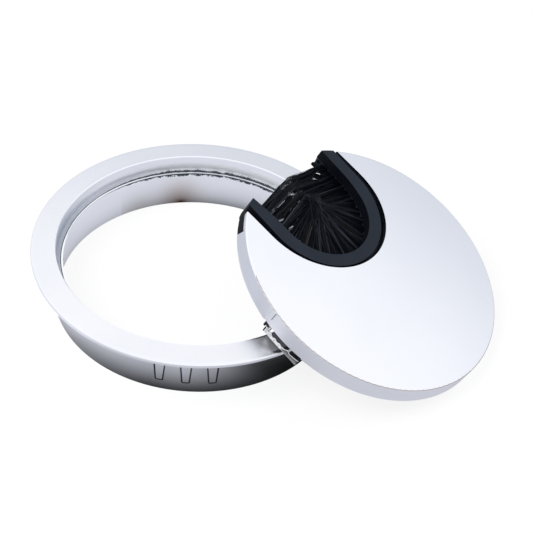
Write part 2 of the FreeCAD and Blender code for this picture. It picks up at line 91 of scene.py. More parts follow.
def to_cover(points):
    """Points of the row's frame in metres to the cover frame in millimetres."""
    return (points - COVER[:3, 3]) @ np.linalg.inv(COVER[:3, :3]).T


# ---- mesh helpers -------------------------------------------------------------------------------
def grid_faces(rows, cols, close_rows=False):
    """Quads over rows of points; each row is a closed loop, and the rows may close as well."""
    faces = []
    for i in range(rows if close_rows else rows - 1):
        for j in range(cols):
            a, b = i * cols + j, i * cols + (j + 1) % cols
            c, d = ((i + 1) % rows) * cols + (j + 1) % cols, ((i + 1) % rows) * cols + j
            faces.append((a, b, c, d))
    return faces


def add_piece(name, points, faces, body, material, replaced, angle):
    """A mesh on the cover, from points in its frame, that rides on a body and stands for a node."""
    world = np.asarray(points, float) @ COVER[:3, :3].T + COVER[:3, 3]
    mesh = bpy.data.meshes.new(name)
    mesh.from_pydata([tuple(p) for p in world], [], [tuple(f) for f in faces])
    mesh.validate()
    piece = bpy.data.objects.new(name, mesh)
    bpy.context.scene.collection.objects.link(piece)
    clean_mesh(mesh)
    for polygon in mesh.polygons:
        polygon.use_smooth = True
    mesh.set_sharp_from_angle(angle=math.radians(angle))
    mesh.materials.append(material)
    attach(piece, body)
    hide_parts(replaced)
    return piece


def clean_mesh(mesh):
    """Merge doubled points, drop faces without area and turn all faces outwards."""
    bm = bmesh.new()
    bm.from_mesh(mesh)
    bmesh.ops.remove_doubles(bm, verts=bm.verts, dist=2e-7)
    bmesh.ops.dissolve_degenerate(bm, edges=bm.edges, dist=1e-7)
    bmesh.ops.recalc_face_normals(bm, faces=bm.faces)
    bm.to_mesh(mesh)
    bm.free()


# ---- node helpers -------------------------------------------------------------------------------
def rgb(red, green, blue):
    return (red, green, blue, 1)


def grey(value):
    return (value, value, value)


WHITE = rgb(1, 1, 1)


class Nodes:
    """Short hand for building the node tree of a new material or world."""

    def __init__(self, owner):
        self.owner = owner
        owner.use_nodes = True
        self.tree = owner.node_tree
        self.shader = self.tree.nodes.get("Principled BSDF")

    def add(self, kind, settings=None, **inputs):
        """A node with its settings and inputs; an input is named, or numbered as i0, i1 and so on."""
        node = self.tree.nodes.new(kind)
        for key, value in (settings or {}).items():
            setattr(node, key, value)
        for key, value in inputs.items():
            self.put(node, key, value)
        return node

    def put(self, node, key, value):
        """Set an input to a value, or link it to a socket."""
        numbered = key[0] == "i" and key[1:].isdigit()
        socket = node.inputs[int(key[1:])] if numbered else node.inputs[key]
        if isinstance(value, bpy.types.NodeSocket):
            self.tree.links.new(value, socket)
        else:
            socket.default_value = value

    def set(self, **inputs):
        """Set or link inputs of the material's shader."""
        for key, value in inputs.items():
            self.put(self.shader, key.replace("_", " "), value)

    def source(self, key):
        """The socket that is linked to an input of the material's shader."""
        return self.shader.inputs[key].links[0].from_socket

    def place(self):
        return self.add("ShaderNodeTexCoord").outputs["Object"]

    def ramp(self, fac, stops):
        node = self.add("ShaderNodeValToRGB", None, Fac=fac)
        ramp = node.color_ramp
        while len(ramp.elements) < len(stops):
            ramp.elements.new(0.5)
        for element, (at, colour) in zip(ramp.elements, stops):
            element.position = at
            element.color = rgb(*colour)
        return node.outputs["Color"]

    def maths(self, kind, a, b=0.0):
        return self.add("ShaderNodeMath", {"operation": kind}, i0=a, i1=b).outputs[0]

    def product(self, value, *factors):
        for factor in factors:
            value = self.maths("MULTIPLY", value, factor)
        return value

    def over(self, value, limit):
        """1 where the value is over the limit, else 0."""
        return self.maths("GREATER_THAN", value, limit)

    def under(self, value, limit):
        """1 where the value is under the limit, else 0."""
        return self.maths("LESS_THAN", value, limit)

    def near(self, value, middle, reach):
        """1 where the value is less than reach from the middle, else 0."""
        return self.under(self.maths("ABSOLUTE", self.maths("SUBTRACT", value, middle)), reach)

    def radius(self, x, y):
        return self.maths("SQRT", self.maths("ADD", self.product(x, x), self.product(y, y)))

    def span(self, value, from_min, from_max, to_min, to_max, smooth=True):
        """A value moved from one range to another, and held inside the second."""
        kind = "SMOOTHSTEP" if smooth else "LINEAR"
        node = self.add("ShaderNodeMapRange", {"interpolation_type": kind}, Value=value,
                        **{"From Min": from_min, "From Max": from_max,
                           "To Min": to_min, "To Max": to_max})
        return node.outputs["Result"]

    def dot(self, vector, direction):
        node = self.add("ShaderNodeVectorMath", {"operation": "DOT_PRODUCT"}, i0=vector,
                        i1=tuple(float(v) for v in direction))
        return node.outputs["Value"]

    def noise(self, vector, scale, detail=4.0, rough=0.6):
        node = self.add("ShaderNodeTexNoise", None, Vector=vector, Scale=scale, Detail=detail,
                        Roughness=rough)
        return node.outputs["Fac"]

    def unevenness(self, noise, strength):
        """Noise turned about zero, times a strength."""
        return self.product(self.maths("SUBTRACT", noise, 0.5), strength)

    def mix(self, fac, a, b, kind="MIX"):
        """Two colours mixed; the colour sockets of the node are its inputs 6 and 7."""
        node = self.add("ShaderNodeMix", {"data_type": "RGBA", "blend_type": kind},
                        Factor=fac, i6=a, i7=b)
        return node.outputs[2]

    def blend(self, fac, a, b):
        """Two shaders mixed."""
        return self.add("ShaderNodeMixShader", None, i0=fac, i1=a, i2=b).outputs[0]

    def bump(self, height, strength, distance):
        node = self.add("ShaderNodeBump", None, Strength=strength, Distance=distance, Height=height)
        self.set(Normal=node.outputs["Normal"])


# ---- materials ----------------------------------------------------------------------------------
def metal(name, dark, light, rough_low, rough_high, grain_scale, bump):
    """Satin metal with fine directionless grain, cloudy colour and uneven polish."""
    m = Nodes(bpy.data.materials.new(name))
    place = m.place()
    cloud = m.noise(place, 45.0, 5.0, 0.55)
    grain = m.noise(place, grain_scale, 3.0, 0.7)
    m.set(Metallic=1.0, Base_Color=m.ramp(cloud, [(0.3, dark), (0.7, light)]),
          Roughness=m.span(grain, 0.3, 0.7, rough_low, rough_high, smooth=False))
    m.bump(grain, bump, 0.00002)
    return m


def plastic(name, dark, light, rough, bump, shine):
    """Moulded plastic or nylon: cloudy colour and a fine spark texture."""
    m = Nodes(bpy.data.materials.new(name))
    place = m.place()
    cloud = m.noise(place, 120.0, 5.0, 0.6)
    spark = m.noise(place, 5200.0, 2.0, 0.5)
    m.set(Base_Color=m.ramp(cloud, [(0.3, dark), (0.7, light)]), Roughness=rough,
          Specular_IOR_Level=shine)
    m.bump(spark, bump, 0.00003)
    return m


SHELF_R = RECESS_R - 1.25       # the ledge's top takes painted shade, like the wall, outside this radius
LEDGE_FLAT = 0.00005            # a point this near LEDGE_Z is on the ledge's top


def ring_metal():
    """Satin casting, polished at its inner edges, with painted shade and reflection on the recess wall
    and ledge, a painted highlight on the ledge's lip, a stain and a speck.
    """
    m = metal("ring_satin", (0.885, 0.90, 0.955), (0.925, 0.94, 0.99), 0.27, 0.33, 5000.0, 0.010)
    satin, grain = m.source("Base Color"), m.source("Roughness")
    place = m.place()
    split = m.add("ShaderNodeSeparateXYZ", None, i0=place)
    x, y, z = (split.outputs[k] for k in "XYZ")
    radius = m.radius(x, y)
    turn = m.maths("ABSOLUTE", m.maths("ARCTAN2", y, x))
    right = m.span(turn, 2.45, 1.75, 0.0, 1.0, smooth=False)    # 0 at the ring's left end
    left = m.span(turn, 2.30, 3.30, 0.0, 1.0)

    on_ledge = m.near(z, mm(LEDGE_Z), LEDGE_FLAT)
    wall = m.product(m.near(radius, mm(RECESS_R), 0.00006), m.over(z, mm(LEDGE_Z)))
    shelf = m.product(on_ledge, m.over(radius, mm(SHELF_R)))
    lip = m.product(m.under(radius, mm(LEDGE_R + 0.5)), m.over(z, mm(LEDGE_Z - 0.14)))
    flange_top = m.product(m.over(z, 0.0163), m.over(radius, 0.0396))
    recess_edge = m.near(radius, mm(RECESS_R + 0.15), 0.00022)
    ledge_shade_mask = ledge_painted_shade(m, place, radius, z, on_ledge, right)

    colour = stain(m, satin, radius, x, y, z)
    # painted shade: the ledge's top outside SHELF_R is toned darker and bluer, like the wall
    colour = m.mix(m.product(shelf, 0.75), colour, rgb(0.70, 0.715, 0.765))
    # painted reflection and shade: the recess wall, and the ledge's top more lightly, turn blue-grey
    # towards the ring's left end, most near the ledge
    painted_shade_zone = m.maths("MAXIMUM", wall, m.product(shelf, 0.35))
    deep = m.span(z, 0.0170, 0.0124, 0.62, 1.0)
    colour = m.mix(m.product(painted_shade_zone, left, deep), colour, rgb(0.50, 0.56, 0.64))
    colour = speck(m, colour, place, x, y, z)
    # painted highlight: the ledge's lip is mixed to near white; its lower roughness further down is its
    # polish
    colour = m.mix(lip, colour, rgb(0.97, 0.98, 1.0))
    # painted shade: a dark ragged tone for the ledge's corner and for the face under its lip
    ledge_shade_tone = m.ramp(m.noise(place, 1900.0, 4.0, 0.75),
                  [(0.46, (0.03, 0.04, 0.05)), (0.60, (0.08, 0.10, 0.125)),
                   (0.74, (0.34, 0.38, 0.42))])
    m.set(Base_Color=m.mix(ledge_shade_mask, colour, ledge_shade_tone))

    dull = m.maths("MAXIMUM", wall, shelf)
    foot = m.span(z, mm(LEDGE_Z + 2.8), mm(LEDGE_Z + 1.5), 0.0, 0.82)
    matt = m.maths("MAXIMUM", m.product(flange_top, 0.24), m.product(dull, foot, right))
    m.set(Metallic=m.maths("SUBTRACT", 1.0, matt))
    polish = m.maths("SUBTRACT", 1.0, m.product(m.maths("MAXIMUM", recess_edge, lip), 0.6))
    m.set(Roughness=m.product(m.maths("ADD", grain, m.product(dull, 0.5)), polish))
    return m.owner


def ledge_painted_shade(m, place, radius, z, on_ledge, right):
    """Where the ragged painted shade is: a band on the ledge's top, and the face under its lip."""
    inward = m.maths("SUBTRACT", mm(SHELF_R), radius)
    band = ragged_seam(m, place, m.maths("ABSOLUTE", inward), 0.30, 0.09, right)
    outer = ragged_seam(m, place, m.maths("SUBTRACT", 0.0, inward), 1.1, 0.12, right)
    on_top = m.product(m.maths("MAXIMUM", band, outer), on_ledge)
    below = ragged_seam(m, place, m.maths("SUBTRACT", mm(LEDGE_Z - 0.15), z), 1.5, 0.05, right)
    face = m.product(m.under(radius, mm(LEDGE_R + 0.05)), m.under(z, mm(LEDGE_Z - 0.12)))
    inside = m.under(radius, mm(RECESS_R + 0.05))
    return m.product(m.maths("MAXIMUM", on_top, m.product(below, face)), inside)


def ragged_seam(m, place, away, reach, least, right):
    """1 where a distance from a seam is under a ragged limit; reach and least are in mm."""
    coarse = m.unevenness(m.noise(place, 480.0, 3.0), 1.9)
    fine = m.unevenness(m.noise(place, 2600.0, 5.0, 0.8), 2.4)
    share = m.maths("ADD", m.maths("ADD", coarse, fine), 0.55)
    limit = m.maths("ADD", m.product(share, mm(reach), right), mm(least))
    return m.product(m.under(away, limit), m.over(away, -0.00004))


# each stain: middle in x, width and height in metres, strength, colour
STAINS = [(-0.0076, 0.0055, 0.0075, 0.9, (0.47, 0.39, 0.35)),
          (-0.0072, 0.0016, 0.0012, 1.0, (0.10, 0.03, 0.02)),
          (-0.0195, 0.0050, 0.0050, 0.55, (0.55, 0.52, 0.49))]


def stain(m, colour, radius, x, y, z):
    """Brown stains running up from the foot of the bore's far side."""
    bore = m.product(m.over(y, 0.03), m.under(z, 0.0111), m.under(radius, mm(BORE_R + 0.1)))
    for middle, wide, high, strength, tone in STAINS:
        across = m.maths("DIVIDE", m.maths("SUBTRACT", x, middle), wide)
        up = m.maths("DIVIDE", z, high)
        far = m.maths("ADD", m.product(across, across), m.product(up, up))
        soft = m.maths("POWER", 2.718, m.product(far, -1.0))
        colour = m.mix(m.product(soft, bore, strength), colour, rgb(*tone))
    return colour


SPECK_X, SPECK_Y, SPECK_R = -0.03651, -0.00763, 0.00062


def speck(m, colour, place, x, y, z):
    """A small dark mark on the recess's inner edge, low on the left."""
    away = m.radius(m.maths("SUBTRACT", x, SPECK_X), m.maths("SUBTRACT", y, SPECK_Y))
    away = m.maths("ADD", away, m.unevenness(m.noise(place, 2500.0), 0.0003))
    tone = m.ramp(m.noise(place, 2200.0), [(0.45, (0.05, 0.055, 0.06)), (0.62, (0.5, 0.52, 0.55))])
    return m.mix(m.product(m.under(away, SPECK_R), m.over(z, 0.0115)), colour, tone)


SEAM_DEG = 81.75        # azimuth in the cover frame of the dark seam beside the front clip


def rim_metal():
    """Duller metal with a brownish upper edge and the short dark seam beside the front clip."""
    m = metal("rim_satin", (0.86, 0.88, 0.935), (0.91, 0.925, 0.975), 0.34, 0.42, 2600.0, 0.05)
    satin = m.source("Base Color")
    place = m.place()
    axes = (COVER[:3, k] / np.linalg.norm(COVER[:3, k]) for k in range(3))
    axis_u, axis_w, axis_z = axes
    a = math.radians(SEAM_DEG)
    outwards = axis_u * math.cos(a) + axis_w * math.sin(a)
    sideways = -axis_u * math.sin(a) + axis_w * math.cos(a)
    height, side, out = (m.maths("SUBTRACT", m.dot(place, way), float(np.dot(way, COVER[:3, 3])))
                         for way in (axis_z, sideways, outwards))
    edge = m.product(m.over(height, -0.00012), 0.35)
    colour = m.mix(edge, satin, rgb(0.35, 0.28, 0.27))
    line = m.product(m.near(side, 0.0, 0.00011), m.over(out, 0.0), m.over(height, -0.0032))
    m.set(Base_Color=m.mix(line, colour, rgb(0.10, 0.11, 0.13)))
    return m.owner


RING_METAL = ring_metal()
GROOVE = plastic("groove_shade", grey(0.05), grey(0.09), 0.5, 0.3, 0.5).owner
COVER_METAL = metal("cover_satin", (0.915, 0.93, 0.985), (0.94, 0.955, 1.0),
                    0.16, 0.22, 2000.0, 0.03).owner
RIM_METAL = rim_metal()
EDGE_METAL = metal("rim_edge_worn", (0.42, 0.37, 0.37), (0.62, 0.58, 0.58),
                   0.35, 0.5, 1500.0, 0.05).owner
SPRING_DULL = metal("spring_dull", grey(0.58), grey(0.80), 0.22, 0.4, 900.0, 0.3).owner
SPRING_METAL = metal("spring_bright", grey(0.75), grey(0.9), 0.10, 0.2, 1500.0, 0.3).owner
SCREW_METAL = metal("screw_zinc", grey(0.5), grey(0.65), 0.3, 0.4, 1500.0, 0.3).owner
BLACK = plastic("black_plastic", (0.0163, 0.0232, 0.0360), (0.0224, 0.0300, 0.0450),
                0.5, 0.3, 0.14).owner
# painted shade: a darker copy of the black plastic, for faces and ends that lie in shade
BLACK_PAINTED_SHADE = plastic("black_painted_shade", (0.003, 0.004, 0.007), (0.006, 0.007, 0.011),
                     0.6, 0.4, 0.08).owner
# painted sheen: paler strands that stand in for glints along the nylon
BRISTLE_SHEEN = plastic("bristle_nylon_painted_sheen", (0.016, 0.020, 0.029), (0.033, 0.038, 0.049),
                       0.45, 0.2, 0.3).owner
BRISTLE_BROWN = plastic("bristle_nylon_brown", (0.034, 0.030, 0.028), (0.050, 0.046, 0.044),
                        0.5, 0.2, 0.2).owner
BRISTLE = plastic("bristle_nylon", (0.0024, 0.0039, 0.0085), (0.0066, 0.0093, 0.0150),
                  0.5, 0.2, 0.16).owner

for node, material in (("ring_liner", RING_METAL), ("cover_plate", COVER_METAL),
                       ("brush_frame", BLACK), ("brush_strip", BLACK), ("bristle_tufts", BRISTLE),
                       ("insert_carrier", BLACK), ("carrier_screws", SCREW_METAL),
                       ("clip_pins", SCREW_METAL), ("clip_front", SPRING_METAL),
                       ("clip_rear", SPRING_METAL)):
    materials = NODES[node].data.materials
    materials.clear()
    materials.append(material)


# ---- faces of the CAD's meshes with a material of their own -------------------------------------
GROOVE_ARC = 16         # degrees from a group's middle tongue within which its grooves lie
TONGUE_DEPTH = 0.36     # a flat face less deep than this is a tongue's own face


def mark_grooves():
    """The pressed outlines of the tongues are darker than the tube."""
    mesh = NODES["ring_liner"].data
    mesh.materials.append(GROOVE)
    for polygon in mesh.polygons:
        x, y, z = polygon.center * 1000
        radius = math.hypot(x, y)
        if not (0.5 < z < 11 and BORE_R + 0.1 < radius < TUBE_R - 0.02):
            continue
        turn = (math.degrees(math.atan2(y, x)) - TONGUE_DEG) % TONGUE_GROUP_DEG
        turn = min(turn, TONGUE_GROUP_DEG - turn)
        flat = abs(polygon.normal.x * x + polygon.normal.y * y) / radius > 0.9
        tongue = flat and radius > TUBE_R - TONGUE_DEPTH
        if turn < GROOVE_ARC and not tongue:
            polygon.material_index = 1


def mark_rim():
    """The cover's side wall is duller than its top, and its rounded edge is worn, but not all round."""
    mesh = NODES["cover_plate"].data
    mesh.materials.append(RIM_METAL)
    mesh.materials.append(EDGE_METAL)
    for polygon in mesh.polygons:
        away = polygon.center - COVER_CENTRE
        height = away.dot(COVER_AXIS) * 1000
        radius = (away - COVER_AXIS * away.dot(COVER_AXIS)).length * 1000
        up = polygon.normal.dot(COVER_AXIS)
        around = math.degrees(math.atan2(away.dot(Vector(COVER[:3, 1])),
                                         away.dot(Vector(COVER[:3, 0]))))
        if abs(up) < 0.2 and radius > COVER_R - 0.3 and height < -0.3:
            polygon.material_index = 1
        elif 0.2 < up < 0.94 and radius > COVER_R - 0.5 and not 22 < around < 64:
            polygon.material_index = 2


mark_grooves()
mark_rim()


# ---- black frame and strip ----------------------------------------------------------------------
def share(value, low, high):
    """How far a value lies from low to high, between 0 and 1."""
    return min(max((value - low) / (high - low), 0.0), 1.0)


WEAR_FROM_U = 29.4              # the arms' ends have gone back from here on
NOTCH_Z = (-4.7, -4.4)          # heights between which the far arm's end has a notch
NOTCH_DEPTH, NOTCH_FROM_U = 0.35, 34.0


def wear_back(point):
    """Where a point of the frame lies after the arms have worn back on their inner side."""
    u, w, z = point
    inner = share(abs(w), OUT_HALF, IN_HALF)
    end = share(u, WEAR_FROM_U, ARM_TIP_U)
    if w > 0:
        back, out = 0.97 * inner, 1.37 * share(u, 25.0, ARM_TIP_U)
    else:
        notched = NOTCH_Z[0] < z < NOTCH_Z[1] and u > NOTCH_FROM_U
        back = (0.58 + (NOTCH_DEPTH if notched else 0.0)) * share(abs(w), 21.0, 19.6)
        out = 0.63 * share(u, 19.0, 25.0)
    return (u - back * end, w + math.copysign(out * inner, w), z)


def worn_piece(name, node, cuts):
    """A copy of one of the cover's plastic parts with its arms worn back.

    Each cut is a place and a direction; it adds an edge loop, so that the wear bends the faces there.
    """
    bm = bmesh.new()
    bm.from_mesh(NODES[node].data)
    turn = Matrix([list(row) for row in COVER[:3, :3] * 1000])
    for where, way in cuts:
        normal = (turn @ Vector(way)).normalized()
        bmesh.ops.bisect_plane(bm, geom=bm.verts[:] + bm.edges[:] + bm.faces[:],
                               plane_co=COVER_CENTRE + normal * where / 1000,
                               plane_no=normal, dist=1e-7)
    bm.verts.index_update()
    points = to_cover(np.array([vert.co for vert in bm.verts]))
    faces = [[vert.index for vert in face.verts] for face in bm.faces]
    bm.free()
    points = [wear_back(point) for point in points]
    return add_piece(name, points, faces, "cover", BLACK, node, 30)


def worn_parts():
    """The slot's frame, with painted shade on every face that doesn't look up, and the strip inside it.
    """
    bends = [(u, (1, 0, 0)) for u in (19.0, 25.0, WEAR_FROM_U)]
    piece = worn_piece("brush_frame_worn", "brush_frame", bends + [(-5.0, (0, 0, 1))])
    worn_piece("brush_strip_worn", "brush_strip", bends)
    piece.data.materials.append(BLACK_PAINTED_SHADE)
    for polygon in piece.data.polygons:
        # painted shade on faces that don't look up
        if polygon.normal.dot(COVER_AXIS) < 0.5:
            polygon.material_index = 1


worn_parts()


# ---- clips --------------------------------------------------------------------------------------
# upper edge of the leaf: distance along it from its middle, height
CLIP_EDGE = [(-5.6, -7.0), (-5.1, -6.9), (-4.6, -7.3), (-4.2, -7.75), (-3.7, -7.35), (-3.2, -7.2),
             (-2.8, -7.7), (-2.3, -8.0), (-1.8, -7.6), (-1.3, -7.55), (-0.8, -7.95), (-0.3, -7.85),
             (0.3, -7.5), (0.9, -7.9), (1.4, -7.8), (2.0, -7.75), (2.5, -7.45), (2.9, -7.05),
             (3.3, -7.05), (3.7, -7.4), (4.2, -7.55), (5.0, -7.4), (6.0, -7.2), (7.0, -7.0)]
CLIP_EDGE_V, CLIP_EDGE_Z = np.array(CLIP_EDGE).T
CLIP_OUT = 37.85                # radius of the leaf's outer face
CLIP_SHEET = 0.28               # thickness of its sheet
CLIP_LOW, CLIP_TAB_LOW = -8.93, -8.6    # heights of the lower edges of the leaf and its tab
CLIP_TAB_V, CLIP_BEND = -5.72, 0.45     # outer face of the tab, and its bend into the leaf
CLIP_BEAD = 1.35                # radius of the rolled edge, as a multiple of half the sheet
PIVOT_U, PIVOT_V = 35.95, -5.0  # where the eye goes round the pin
# section of the eye: radius, height
CLIP_EYE = [(0.42, -8.93), (0.70, -8.93), (0.75, -8.88), (0.75, -7.02), (0.70, -6.97),
            (0.42, -6.97)]
EYE_SIDES = 40


def clip_path():
    """Outer face of the bent sheet from above: the tab on the eye, a bend, and the long leaf."""
    path = [(PIVOT_U - 0.35, CLIP_TAB_V), (PIVOT_U + 0.5, CLIP_TAB_V)]
    path += [(CLIP_OUT - CLIP_BEND + CLIP_BEND * math.sin(a),
              CLIP_TAB_V + CLIP_BEND - CLIP_BEND * math.cos(a))
             for a in np.radians(np.arange(0, 91, 15))]
    path += [(CLIP_OUT - 0.0016 * (v + 0.5) ** 2, v) for v in np.linspace(-5.1, 6.6, 100)]
    path += [(CLIP_OUT - 0.16, 6.85), (CLIP_OUT - 0.34, 7.0)]
    return np.array(path)


def clip_section():
    """Points round the sheet: depth behind its face, share of its height, and height to add."""
    half, ease = CLIP_SHEET / 2, 0.06
    foot = [(0.0, 0.0, ease), (ease, 0.0, 0.0), (CLIP_SHEET - ease, 0.0, 0.0),
            (CLIP_SHEET, 0.0, ease)]
    bead = CLIP_BEAD * half
    return foot + [(half + bead * math.cos(a), 1.0, bead * math.sin(a) - half)
                   for a in np.radians(np.arange(-40, 221, 20))]


def spring_clip(name, side, node, body):
    """Bent leaf with a rolled, waved upper edge, on an eye; drawn at azimuth 0 and turned."""
    path, section = clip_path(), clip_section()
    along = np.gradient(path, axis=0)
    along /= np.linalg.norm(along, axis=1)[:, None]
    inward = np.stack([-along[:, 1], along[:, 0]], 1)
    top = np.interp(path[:, 1], CLIP_EDGE_V, CLIP_EDGE_Z)
    low = np.interp(path[:, 0], [PIVOT_U, CLIP_OUT - 0.4], [CLIP_TAB_LOW, CLIP_LOW])
    points = []
    for (u, v), (iu, iv), z1, z0 in zip(path, inward, top, low):
        points += [(u + iu * depth, v + iv * depth, z0 + (z1 - z0) * part + extra)
                   for depth, part, extra in section]
    width = len(section)
    faces = grid_faces(len(path), width)
    faces += [tuple(reversed(range(width))),
              tuple((len(path) - 1) * width + k for k in range(width))]
    count = len(points)
    for k in range(EYE_SIDES):
        a = 2 * math.pi * k / EYE_SIDES
        points += [(PIVOT_U + r * math.cos(a), PIVOT_V + r * math.sin(a), z) for r, z in CLIP_EYE]
    faces += [tuple(count + i for i in face)
              for face in grid_faces(EYE_SIDES, len(CLIP_EYE), close_rows=True)]
    turn = math.radians(side)
    points = [(u * math.cos(turn) - v * math.sin(turn), u * math.sin(turn) + v * math.cos(turn), z)
              for u, v, z in points]
    piece = add_piece(name, points, faces, body, SPRING_METAL, node, 40)
    paint_clip(piece.data, turn)


def paint_clip(mesh, turn):
    """The leaf is bright along its rolled edge, dull below it, and takes painted shade at its left end,
    which lies in the dark.
    """
    mesh.materials.append(SPRING_DULL)
    mesh.materials.append(BLACK_PAINTED_SHADE)
    for polygon in mesh.polygons:
        x, y, z = to_cover(np.array(polygon.center))
        u, v = x * math.cos(turn) + y * math.sin(turn), -x * math.sin(turn) + y * math.cos(turn)
        crest = np.interp(v, CLIP_EDGE_V, CLIP_EDGE_Z)
        left_end = v < -5.25 and u > 36.4 and z < crest - 0.1
        left_foot = v < -2.5 and u > 37 and z < -8.72
        # painted shade: the left end and foot take the darker black
        if left_end or left_foot:
            polygon.material_index = 2
        elif z < crest - (0.75 if v < 1.2 else 0.15) or v > 3.6:
            polygon.material_index = 1


spring_clip("clip_front_leaf", 90, "clip_front", "front_clip")
spring_clip("clip_rear_leaf", -90, "clip_rear", "rear_clip")


# ---- bristles -----------------------------------------------------------------------------------
TUFTS = 25
ARM_MARGIN = 3.5                # from the arms' ends to their last tufts
FOCUS_U, FOCUS_W = 27.5, -1.5   # the point that the tufts round the bend lean to
TUFT_Z = -3.5                   # middle of the strip
STRANDS = 6                     # strands in a tuft: filaments of one tone that lie together
FILAMENT_STEPS, FILAMENT_SIDES = 10, 3
FILAMENT_R = (0.075, 0.105)
SINK = 0.9                      # how deep a filament starts inside the strip
# gaps seen through the brush: centre u, w; half length, half width; direction of the length
GAPS = [(30.1, -11.3, 2.4, 1.15, 94), (27.05, -9.0, 1.4, 0.42, 100), (26.3, 10.6, 2.2, 0.78, -67),
        (22.5, 10.6, 1.3, 0.62, -64), (23.6, 8.0, 0.7, 0.25, -70), (19.4, 10.6, 0.6, 0.26, -80),
        (33.0, 1.7, 1.5, 0.30, -78), (33.9, -5.0, 3.2, 0.20, -86), (29.4, 11.5, 0.9, 0.22, -80)]
GAP_Z, GAP_SLANT = -2.5, (-0.209, 1.037)    # gaps are as given at this height, and slant by this
# front line of the brush, across the slot's open mouth
FRONT_W = [-13.3, -7.9, -2.1, 1.7, 5.0, 8.2, 11.5, 13.5]
FRONT_U = [33.3, 33.8, 34.6, 34.0, 33.4, 32.8, 32.2, 31.9]


def tuft_roots(count):
    """(point, inward normal) of each tuft's hole, evenly along the strip's inner face."""
    half = IN_HALF + STRIP_SET_BACK
    arm = math.sqrt(END_R ** 2 - half ** 2) - IN_C - ARM_MARGIN
    total = 2 * arm + math.pi * half
    roots = []
    for i in range(count):
        along = total * i / (count - 1)
        if along < arm:
            roots.append(((IN_C + arm - along, half), (0.0, -1.0)))
        elif along > total - arm:
            roots.append(((IN_C + arm - (total - along), -half), (0.0, 1.0)))
        else:
            a = math.pi / 2 + (along - arm) / half
            roots.append(((IN_C + half * math.cos(a), half * math.sin(a)),
                          (-math.cos(a), -math.sin(a))))
    return roots


def part_hair(centre):
    """Push the filaments sideways out of each gap, along a slanted line of sight."""
    for u, w, long, wide, turn in GAPS:
        cosine, sine = math.cos(math.radians(turn)), math.sin(math.radians(turn))
        du = centre[..., 0] - (centre[..., 2] - GAP_Z) * GAP_SLANT[0] - u
        dw = centre[..., 1] - (centre[..., 2] - GAP_Z) * GAP_SLANT[1] - w
        along, across = du * cosine + dw * sine, -du * sine + dw * cosine
        room = wide ** 2 * np.clip(1 - (along / long) ** 2, 0, None)
        shift = np.sign(across) * np.sqrt(across ** 2 + room) - across
        shift *= np.exp(-(across / (3 * wide)) ** 2)
        centre[..., 0] -= shift * sine
        centre[..., 1] += shift * cosine


def filament_lines(start, way, side, rng, count, spread, length, lift):
    """Centre lines of one bunch, each filament's angle and radius, and the strand it is in."""
    up = np.array([0.0, 0.0, 1.0])
    a, r = rng.uniform(0, 2 * math.pi, count), np.sqrt(rng.uniform(0, 1, count))
    across, rise = spread[0] * r * np.cos(a), spread[1] * r * np.sin(a)
    order = np.argsort(np.argsort(across + rng.normal(0, 0.15, count)))
    strand = order * STRANDS // count
    fan = (across * 0.03 + rng.normal(0, 0.011, count) + rng.normal(0, 0.026, STRANDS)[strand]
           + rng.normal(0, 0.02))
    slope = (rise * 0.05 + rng.normal(0, 0.022, count) + rng.normal(0, 0.02, STRANDS)[strand]
             + lift)
    reach = length + rng.normal(0, 0.4, count) + rng.normal(0, 0.5, STRANDS)[strand]
    bend_side, bend_up = rng.normal(0, 0.25, count), rng.normal(0, 0.35, count)
    radius = rng.uniform(*FILAMENT_R, count)
    ragged = rng.normal(0, 0.2, count)
    base = start + side * across[:, None] + up * rise[:, None]
    end = base + way * reach[:, None] + side * (fan * reach)[:, None]
    front = np.interp(end[:, 1], FRONT_W, FRONT_U) + ragged
    within = (front - base[:, 0]) / np.maximum(end[:, 0] - base[:, 0], 0.1)
    reach = reach * np.clip(np.where(end[:, 0] > front, within, 1.0), 0.12, 1.0)
    t = np.linspace(0, 1, FILAMENT_STEPS)[:, None]
    centre = (base[None] + way * (reach * t)[..., None]
              + side * (fan * reach * t + bend_side * t * t)[..., None]
              + up * (slope * reach * t + bend_up * t * t)[..., None])
    part_hair(centre)
    front = np.interp(centre[..., 1], FRONT_W, FRONT_U) + ragged * 0.6
    centre[..., 0] = np.minimum(centre[..., 0], front)
    return centre, a, radius * (1 - 0.35 * t), strand


def filament_mesh(centre, a, radius, side):
    """Points and faces of thin three-sided tubes round the centre lines."""
    up = np.array([0.0, 0.0, 1.0])
    turn = a[:, None] + 2 * math.pi * np.arange(FILAMENT_SIDES) / FILAMENT_SIDES
    ring = side * np.cos(turn)[..., None] + up * np.sin(turn)[..., None]
    points = centre[:, :, None] + ring[None] * radius[..., None, None]
    points = points.transpose(1, 0, 2, 3).reshape(-1, 3)
    faces = []
    for i in range(len(a)):
        first = i * FILAMENT_STEPS * FILAMENT_SIDES
        last = first + (FILAMENT_STEPS - 1) * FILAMENT_SIDES
        faces += [tuple(first + k for k in face)
                  for face in grid_faces(FILAMENT_STEPS, FILAMENT_SIDES)]
        faces.append(tuple(first + q for q in reversed(range(FILAMENT_SIDES))))
        faces.append(tuple(last + q for q in range(FILAMENT_SIDES)))
    return points, faces


